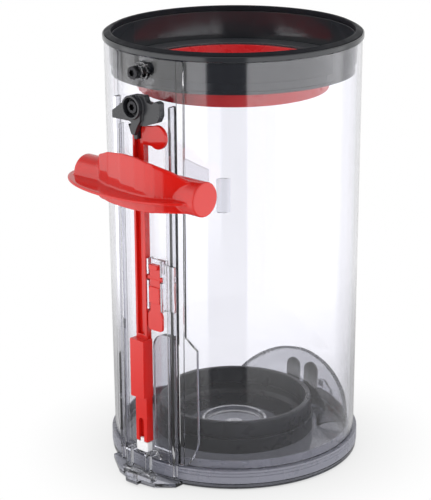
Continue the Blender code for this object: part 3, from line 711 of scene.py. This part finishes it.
def handle():
    """A round grip across the runner with a thin flange behind a humped front, melted into one skin."""
    grip = bar("slider_handle", (-34.5, HANDLE_OUT, HANDLE_HEIGHT), (41.3, HANDLE_OUT, HANDLE_HEIGHT),
               HANDLE_RADIUS, 96, edge=0.4)
    flange = level_plate("handle_flange", ellipse((0, HANDLE_OUT), 40.5, 22.5, 0, 357, 119), 145.0, 146.5)
    grip = join(grip, handle_body(), flange)
    clearance = [(0, 180), (HANDLE_CLEARANCE, 180), (HANDLE_CLEARANCE, 120), (0, 120)]
    clearance = turned("handle_clearance", clearance, closed=False)
    channel = box("handle_channel", (-19.5, 19.5), (50.0, SLIDER_BACK), (120.0, 180.0))
    grip = cut(grip, clearance, channel)
    return melted(grip, 0.35, 14)


def slider():
    """The handle, the rod with its lobe, spring box and fork, and the pale tip in the fork."""
    finish(handle(), "slider", RED, "red_plastic", "release_slider", angle=60)
    rod = box("slider_rod", (-ROD_HALF, ROD_HALF), (ROD_BACK, ROD_FRONT), (FORK_BOTTOM + 10, ROD_TOP),
              edge=0.3)
    back, front = SLIDER_BACK + 0.1, ROD_FRONT - 0.1
    lobe = bar("slider_lobe", (11.6, back, 170.0), (11.6, front, 170.0), 5.5, edge=0.4)
    neck = [(0.0, 165.5), (9.0, 165.5), (9.0, 174.8), (6.7, 174.6), (2.4, 173.8), (0.0, ROD_TOP - 0.1)]
    neck = front_plate("slider_lobe_neck", neck, back, front, edge=0.4)
    spring_box = box("slider_spring_box", (-4.35, 4.35), (61.5, 68.0), (SPRING_BOX_BOTTOM, SPRING_BOX_TOP),
                     edge=0.35)
    fork = box("slider_fork", (-3.6, 3.6), (61.3, 65.6), (FORK_BOTTOM, SPRING_BOX_BOTTOM + 1.0), edge=0.3)
    rod = join(rod, lobe, neck, spring_box, fork)
    pocket = box("spring_pocket", (-3.0, 3.0), (50.0, 66.5), (45.1, 70.5))
    slot = [(-1.6, 10.0), (1.6, 10.0)] + arc((0, 30.4), 1.6, 0, 180, 16)
    slot = front_plate("fork_slot", slot, 63.6, 80.0)
    upper_groove = box("upper_groove", (-2.2, 2.2), (62.6, 70.0), (156.0, 180.0))
    lower_groove = box("lower_groove", (-2.2, 2.2), (62.9, 66.0), (SPRING_BOX_TOP + 2.0, 139.0))
    rod = cut(rod, pocket, slot, upper_groove, lower_groove)
    finish(rod, "slider", RED, "red_plastic", "release_slider")
    tip = box("fork_tip", (-3.7, 3.7), (62.0, 65.4), (15.0, 20.0), edge=0.5)
    tip = join(tip, box("fork_tip_stem", (-1.3, 1.3), (63.9, 65.2), (19.0, 22.0), edge=0.3))
    finish(tip, "slider", PALE, "pale_plastic", "slider_tip")


# ---------------------------------------------------------------- the small removal catch

def catch_bracket():
    """Two cheeks with a back between them, and an arm to the rib."""
    made = box("bracket", (4.1, 5.3), (60.2, 64.4), (87.5, 112.0), edge=0.25)
    right_cheek = box("catch_right_cheek", (12.5, 13.7), (60.2, 64.4), (87.5, 112.0), edge=0.25)
    back = box("catch_back", (4.6, 13.2), (60.0, 62.2), (105.5, 111.6), edge=0.25)
    arm = box("catch_arm", (13.0, 20.8), (62.4, 63.8), (88.6, 110.8), edge=0.3)
    made = join(made, right_cheek, back, arm)
    clearance = turned("catch_clearance", [(0, 130), (61.25, 130), (61.25, 70), (0, 70)], closed=False)
    bearing = box("catch_bearing", (3.0, 13.8), (61.6, 70.0),
                  (CATCH_PIVOT_HEIGHT - 1.5, CATCH_PIVOT_HEIGHT + 1.5))
    finish(cut(made, clearance, bearing), "bin", CLEAR, "clear_plastic", "catch_bracket")


def catch():
    """A lever on a trunnion, with a hook above it and a paddle below."""
    made = box("catch_lever", (5.7, 12.1), (62.7, 64.2), (98.0, 109.0), edge=0.3)
    hook = box("catch_hook", (6.3, 11.3), (62.7, 65.4), (107.4, 109.8), edge=0.4)
    trunnion = bar("catch_trunnion", (4.4, CATCH_PIVOT_OUT, CATCH_PIVOT_HEIGHT),
                   (13.4, CATCH_PIVOT_OUT, CATCH_PIVOT_HEIGHT), 1.2, 32, edge=0.2)
    pad = box("catch_pad", (5.7, 12.1), (62.6, 64.9), (91.0, 99.0), edge=0.4)
    outline = [(12.1, 92.0), (5.7, 92.0), (5.7, 87.0), (4.2, 85.0)]
    outline += arc((5.7, 79.0), 1.5, 180, 270, 8) + arc((11.5, 79.0), 1.5, 270, 360, 8)
    outline += [(13.0, 85.0), (12.1, 87.0)]
    paddle = front_plate("catch_paddle", outline, 62.65, 64.0, edge=0.3)
    finish(join(made, hook, trunnion, pad, paddle), "catch", RED, "red_plastic", "removal_catch")


# ---------------------------------------------------------------- the base

def kidney(name, radius_in, radius_out, half_angle, low, high):
    """A curved slot on the hinge's side."""
    outer = arc((0, 0), radius_out, 270 - half_angle, 270 + half_angle, 32)
    inner = arc((0, 0), radius_in, 270 + half_angle, 270 - half_angle, 32)
    return level_plate(name, outer + inner, low, high)


def flap_tongue():
    """The flat tongue under the runner that carries the latch."""
    left = math.degrees(math.atan2(49.3, -28.0))
    right = math.degrees(math.atan2(53.4, 18.7))
    outline = [(-28.0, 57.0), (-14.0, 67.0), (-5.0, 70.0), (4.0, 70.0), (11.0, 69.0), (18.7, 62.3)]
    outline = rounded(outline, [2, 8, 6, 4, 5, 2], closed=False, steps=6)
    return level_plate("flap_tongue", outline + arc((0, 0), 56.4, right, left, 24), 0.6, 2.6, edge=0.3)


def clear_flap():
    """The pan with its centre ring, rim, tongue, hinge knuckle, latch cheeks and inlet port."""
    profile = [(0, 10.3), (14.2, 10.3), (14.6, 12.4), (16.2, 12.4), (16.6, FLAP_FLOOR_TOP),
               (55.2, FLAP_FLOOR_TOP), (55.2, 8.2), (57.0, 8.2), (57.0, 3.0), (60.6, 3.0), (60.6, 1.0),
               (59.2, 0), (55.0, 0), (55.0, 7.0), (16.8, 7.0), (16.8, 0), (14.4, 0), (14.4, 8.3),
               (5.0, 8.3), (5.0, 0), (0, 0)]
    radii = [0, 0.5, 0.4, 0.5, 0.5, 0.3, 0.2, 0.3, 0.2, 0.4, 0.6, 0.4, 0.3, 0.8, 0.5, 0.4, 0.3, 0.5, 0.5,
             0.3, 0]
    made = turned("clear_flap", rounded(profile, radii, closed=False), closed=False)
    knuckle = cross_bar("flap_knuckle", 7.6, -HINGE_Y, HINGE_Z, HINGE_LUG, edge=0.3)
    web = box("flap_web", (-7.6, 7.6), (-HINGE_Y - 0.5, -58.0), (0.5, 2.9), edge=0.25)
    lip = box("tongue_lip", (-4.0, 3.4), (69.4, 72.8), (0.8, 2.4), edge=0.3)
    lip_front = box("tongue_lip_front", (-4.0, 3.4), (71.9, 73.0), (1.2, 6.0), edge=0.3)
    cheeks = [box(f"latch_cheek_{side}", sorted((side * 8.4, side * 9.8)), (65.6, 68.8), (1.8, 6.8),
                  edge=0.3) for side in (-1, 1)]
    made = join(made, flap_tongue(), knuckle, web, lip, lip_front, *cheeks)
    made = cut(made, kidney("inlet_port", 43.5, 52.4, 28, 4.0, 12.0),
               cross_bar("knuckle_hole", 10, -HINGE_Y, HINGE_Z, HINGE_BORE),
               cross_bar("latch_hole", 12, LATCH_PIVOT_OUT, LATCH_PIVOT_HEIGHT, LATCH_BORE))
    finish(made, "flap", CLEAR_BASE_PAINTED_SHADE, "clear_plastic", "base_flap")
    # The centre ring and the tongue are painted lighter, as painted light; the rest of the flap stays
    # darker as painted shade.
    tint_faces(made, CLEAR_FOOT_PAINTED_LIGHT,
               lambda place: place.xy.length < PAINTED_LIGHT_FOOT_RADIUS * MM or place.y < -PAINTED_LIGHT_TONGUE_BACK * MM)


def gasket():
    """The seal ring between tube and pan, with two grooves around it."""
    profile = [(56.7, 13.6), (56.9, 9.7), (60.9, 9.7), (60.9, 8.8), (60.5, 8.5), (60.9, 8.2), (60.9, 7.2),
               (60.5, 6.9), (60.9, 6.6), (60.9, 3.3), (57.3, 3.3), (57.3, 8.5), (55.7, 8.5), (55.9, 13.6)]
    radii = [0.25, 0.2, 0.4, 0.1, 0.1, 0.1, 0.1, 0.1, 0.1, 0.6, 0.2, 0.2, 0.2, 0.25]
    # The seal's grey colour is painted sheen on black rubber.
    finish(turned("gasket", rounded(profile, radii)), "flap", SEAL_PAINTED_SHEEN, "black_rubber", "base_seal")


def cup():
    """The dark ring with a shallow bowl inside, and the soft lip above it."""
    carrier = [(CUP_OUTER, CUP_LEDGE), (CUP_OUTER, 9.3), (22.5, 9.3), (22.5, 9.9), (33.5, 11.6),
               (CUP_INNER, 13.6), (CUP_INNER, CUP_LEDGE)]
    finish(turned("cup_carrier", rounded(carrier, [0.35, 0.3, 0.2, 0.2, 1.5, 2.0, 0.1])), "flap", CUP,
           "dark_plastic", "cup_seal_carrier")
    lip = [(CUP_LIP_OUTER, CUP_TOP), (CUP_LIP_OUTER, CUP_LEDGE + 0.3), (CUP_INNER, CUP_LEDGE + 0.3),
           (CUP_INNER, CUP_TOP)]
    finish(turned("cup_lip", rounded(lip, [0.9, 0.2, 0.1, 0.7])), "flap", CUP, "dark_rubber",
           "cup_seal_lip")


# The hood's top edge by the wall: its height over the azimuth, in degrees from -Y through +X. It is highest
# at the hinge.
HOOD_TOP = ((126, 12.5), (133, 20.5), (147, 24.5), (165, 30.2), (180, 33.0), (195, 31.5), (205, 27.5),
            (217, 19.5), (220, 15.0))
HOOD_SMOOTHING = 12
HOOD_WALL = 1.4


def hood():
    """A vault against the rear wall: each section falls from the wall's edge to the floor by the cup."""
    sections, steps = 72, 16
    start, end = HOOD_TOP[0][0], HOOD_TOP[-1][0]
    azimuths = [start + (end - start) * i / sections for i in range(sections + 1)]
    heights = [along(HOOD_TOP, azimuth) for azimuth in azimuths]
    for _ in range(HOOD_SMOOTHING):
        inner = [(a + b + c) / 3 for a, b, c in zip(heights, heights[1:], heights[2:])]
        heights = [heights[0], *inner, heights[-1]]
    shape = bmesh.new()
    rows = []
    for azimuth, height in zip(azimuths, heights):
        turn = math.radians(azimuth)
        row = []
        for k in range(steps + 1):
            fall = math.radians(-5 + 100 * k / steps)
            radius = HOOD_OUTER - (HOOD_OUTER - HOOD_INNER) * math.sin(fall)
            z = HOOD_FOOT + (height - HOOD_FOOT) * math.cos(fall)
            x, y = radius * math.sin(turn), -radius * math.cos(turn)
            row.append(shape.verts.new((x * MM, y * MM, z * MM)))
        rows.append(row)
    for first, second in zip(rows, rows[1:]):
        for k in range(steps):
            shape.faces.new((first[k], first[k + 1], second[k + 1], second[k]))
    made = from_bmesh("clear_hood", shape)
    skin = made.modifiers.new("wall", "SOLIDIFY")
    skin.thickness = HOOD_WALL * MM
    skin.offset = -1.0
    made = applied(made)
    below = turned("hood_floor", [(0, HOOD_FOOT), (70, HOOD_FOOT), (70, 0), (0, 0)], closed=False)
    beyond = turned("hood_wall", [(70, 50), (70, -5), (55.35, -5), (55.35, 13.9), (HOOD_OUTER, 13.9),
                                  (HOOD_OUTER, 50)])
    made = cut(made, below, beyond)
    finish(made, "flap", HOOD, "clear_plastic", "inlet_hood", angle=40)
    rim_radius, bead = 55.3, 0.95
    rim = []
    for azimuth, height in zip(azimuths, heights):
        turn = math.radians(azimuth)
        rim.append((rim_radius * math.sin(turn), rim_radius * math.cos(turn), height - 0.4))
    finish(round_wire("hood_rim", rim, bead), "flap", HOOD_RIM, "clear_plastic", angle=60)


def valve(name, left, right, top, cad_node):
    """One rubber leaf under the hood, with a round top."""
    middle = (left + right) / 2
    half = (right - left) / 2
    outline = [(left, HOOD_FOOT), (right, HOOD_FOOT)]
    outline += ellipse((middle, top - half), half, half, 0, 180, 24)
    finish(front_plate(name, outline, -53.5, -52.4, edge=0.25), "flap", VALVE, "black_rubber", cad_node)


def latch():
    """A hub on the latch pin with a heel over its spring, and an arm with a nose on each side."""
    made = cross_bar("latch_hook", 8.0, LATCH_PIVOT_OUT, LATCH_PIVOT_HEIGHT, 1.6, 48, edge=0.2)
    pieces = [box("latch_heel", (-3.4, 3.4), (67.6, 71.2), (5.4, 6.6), edge=0.3)]
    for side in (-1, 1):
        x = sorted((side * 4.4, side * 7.8))
        pieces.append(box(f"latch_arm_{side}", x, (66.6, 68.6), (4.9, 16.0), edge=0.35))
        pieces.append(box(f"latch_nose_{side}", x, (62.3, 67.4), (14.3, 16.2), edge=0.35))
    made = join(made, *pieces)
    made = cut(made, cross_bar("latch_bore", 12, LATCH_PIVOT_OUT, LATCH_PIVOT_HEIGHT, LATCH_BORE))
    finish(made, "latch", CLEAR_LATCH, "clear_plastic", "base_latch")


def pins_and_springs():
    """The steel pins, and the two springs, each on a mesh of its own; in the object the springs shorten
    with the slider and with the latch.
    """
    rear = cross_bar("rear_pin", 12.8, -HINGE_Y, HINGE_Z, HINGE_PIN, edge=0.25)
    finish(rear, "bin", STEEL, "steel", "hinge_pin")
    front = cross_bar("front_pin", 10.2, LATCH_PIVOT_OUT, LATCH_PIVOT_HEIGHT, LATCH_PIN, edge=0.2)
    finish(front, "flap", STEEL, "steel", "latch_pin")
    spring = coil("return_spring", (0, 64.0), 47.8, 70.2, 1.7, 0.6, 8)
    finish(spring, "bin", STEEL, "steel", "slider_return_spring", angle=60)
    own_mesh(spring)
    spring = coil("heel_spring", (0, 70.4), 2.9, 5.1, 0.8, 0.35, 3)
    finish(spring, "flap", STEEL, "steel", "latch_spring", angle=60)
    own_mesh(spring)


# ---------------------------------------------------------------- stage, light, camera

CAMERA_AZIMUTH = math.radians(42.0)
CAMERA_DISTANCE = 0.8723
CAMERA_HEIGHT = 0.3777
CAMERA_DOWN = math.radians(17.68)
CAMERA_TURN = math.radians(0.584)
CAMERA_ROLL = math.radians(-0.35)
LENS = 135.7

# Light, as radiance where 1 is paper white.
WORLD_LIGHT = 2.5
PANEL_LIGHT = 1.95
GAP_LIGHT = 0.06
REAR_LIGHT = 0.9
CEILING = 0.5
BACKDROP = 1.0
FLOOR_GLOW = 0.36
NEAR_FLOOR_GLOSS = 0.55
CONTACT_SHADE = 0.72
CONTACT_REACH = 0.05
FLOOR_RADIUS = 8.0
FLOOR_DROP = 0.0002


def camera():
    data = bpy.data.cameras.new("camera")
    data.lens = LENS
    data.sensor_width = 36.0
    data.clip_start = 0.05
    made = show(bpy.data.objects.new("camera", data))
    made.location = (CAMERA_DISTANCE * math.sin(CAMERA_AZIMUTH),
                     -CAMERA_DISTANCE * math.cos(CAMERA_AZIMUTH), CAMERA_HEIGHT)
    turn = Matrix.Rotation(CAMERA_AZIMUTH + CAMERA_TURN, 3, "Z") @ \
        Matrix.Rotation(math.pi / 2 - CAMERA_DOWN, 3, "X") @ Matrix.Rotation(CAMERA_ROLL, 3, "Z")
    made.rotation_euler = turn.to_euler()
    bpy.context.scene.camera = made


def floor_material():
    """Pale where light falls on it. Gloss sees its near part as grey, and the panels beyond it. The camera
    sees through it, but for a soft contact shadow, because the opened base hangs below it."""
    made = bpy.data.materials.new("pale_floor")
    made.use_nodes = True
    tree = made.node_tree
    shader = tree.nodes["Principled BSDF"]
    shader.inputs["Base Color"].default_value = (0.86, 0.86, 0.87, 1.0)
    shader.inputs["Roughness"].default_value = 0.9
    shader.inputs["Specular IOR Level"].default_value = 0.0
    shader.inputs["Emission Color"].default_value = (1.0, 1.0, 1.0, 1.0)
    shader.inputs["Emission Strength"].default_value = FLOOR_GLOW
    place = node(tree, "ShaderNodeTexCoord")
    reach = node(tree, "ShaderNodeVectorMath", operation="LENGTH")
    tree.links.new(place.outputs["Object"], reach.inputs[0])
    far = ramp(tree, reach.outputs["Value"], 0.13, 0.3, 0.0, 1.0)
    near_grey = node(tree, "ShaderNodeEmission", Color=(1.0, 1.0, 1.0, 1.0), Strength=NEAR_FLOOR_GLOSS)
    beyond = node(tree, "ShaderNodeBsdfTransparent")
    reflected = mixed(tree, far, near_grey.outputs["Emission"], beyond.outputs["BSDF"])
    path = node(tree, "ShaderNodeLightPath")
    glossy = calculated(tree, "GREATER_THAN", path.outputs["Glossy Depth"], 0.5)
    solid = mixed(tree, glossy, shader.outputs["BSDF"], reflected)
    nearby = node(tree, "ShaderNodeAmbientOcclusion", Distance=CONTACT_REACH)
    shadow = ramp(tree, nearby.outputs["AO"], 0.2, 1.0, CONTACT_SHADE, 1.0)
    see_through = node(tree, "ShaderNodeBsdfTransparent")
    tree.links.new(shadow, see_through.inputs["Color"])
    shown = mixed(tree, path.outputs["Is Camera Ray"], solid, see_through.outputs["BSDF"])
    tree.links.new(shown, tree.nodes["Material Output"].inputs["Surface"])
    return made


def floor():
    data = bpy.data.meshes.new("floor")
    shape = bmesh.new()
    bmesh.ops.create_circle(shape, cap_ends=True, radius=FLOOR_RADIUS, segments=128)
    shape.to_mesh(data)
    shape.free()
    data.materials.append(floor_material())
    made = show(bpy.data.objects.new("floor", data))
    made.location.z = -FLOOR_DROP


def studio():
    """A white room with a wide soft panel on each side of the camera's first place and a dark gap between
    them. A view that meets nothing but clear plastic sees a paper-white backdrop."""
    world = bpy.data.worlds.new("studio")
    bpy.context.scene.world = world
    world.use_nodes = True
    tree = world.node_tree
    background = tree.nodes["Background"]
    place = node(tree, "ShaderNodeTexCoord")
    split = node(tree, "ShaderNodeSeparateXYZ")
    tree.links.new(place.outputs["Generated"], split.inputs["Vector"])
    front = calculated(tree, "MULTIPLY", split.outputs["Y"], -1.0)
    azimuth = calculated(tree, "ARCTAN2", split.outputs["X"], front)
    from_camera = calculated(tree, "SUBTRACT", azimuth, CAMERA_AZIMUTH)
    wrapped = calculated(tree, "WRAP", from_camera, math.pi, -math.pi)
    share = ramp(tree, wrapped, -math.pi, math.pi, 0.0, 1.0)
    bands = node(tree, "ShaderNodeValToRGB")
    tree.links.new(share, bands.inputs["Fac"])
    levels = [(-180, REAR_LIGHT), (-118, REAR_LIGHT), (-108, PANEL_LIGHT), (-25, PANEL_LIGHT),
              (-23, GAP_LIGHT), (11, GAP_LIGHT), (13, PANEL_LIGHT), (108, PANEL_LIGHT), (118, REAR_LIGHT),
              (180, REAR_LIGHT)]
    stops = bands.color_ramp.elements
    while len(stops) > 1:
        stops.remove(stops[-1])
    for i, (degrees, level) in enumerate(levels):
        spot = (degrees + 180) / 360
        stop = stops[0] if i == 0 else stops.new(spot)
        stop.position = spot
        stop.color = (*(level / WORLD_LIGHT,) * 3, 1.0)
    up = ramp(tree, split.outputs["Z"], 0.55, 0.8, 0.0, 1.0)
    room = blend(tree, up, bands.outputs["Color"], (CEILING / WORLD_LIGHT,) * 3)
    path = node(tree, "ShaderNodeLightPath")
    bounced = calculated(tree, "ADD", path.outputs["Glossy Depth"], path.outputs["Diffuse Depth"])
    straight = calculated(tree, "LESS_THAN", bounced, 0.5)
    through = calculated(tree, "MULTIPLY", path.outputs["Is Transmission Ray"], straight)
    seen = calculated(tree, "MAXIMUM", path.outputs["Is Camera Ray"], through)
    colour = blend(tree, seen, room, (BACKDROP / WORLD_LIGHT,) * 3)
    tree.links.new(colour, background.inputs["Color"])
    background.inputs["Strength"].default_value = WORLD_LIGHT
    bpy.context.scene.view_settings.view_transform = "Standard"


clear_tube()
collar()
lip_seal()
retaining_ring()
wiper()
star_screw("collar_star_screw", COLLAR_SCREW_HEIGHT, 57.6, 64.7, 67.6, "collar_screw")
star_screw("claw_star_screw", CLAW_SCREW_HEIGHT, 60.3, 65.8, 68.0, "retainer_screw")
claw()
slider()
catch_bracket()
catch()
clear_flap()
gasket()
cup()
hood()
valve("valve_left", -9.4, -1.0, 27.5, "inlet_valve_left")
valve("valve_right", 2.2, 10.8, 27.6, "inlet_valve_right")
latch()
pins_and_springs()
camera()
floor()
studio()
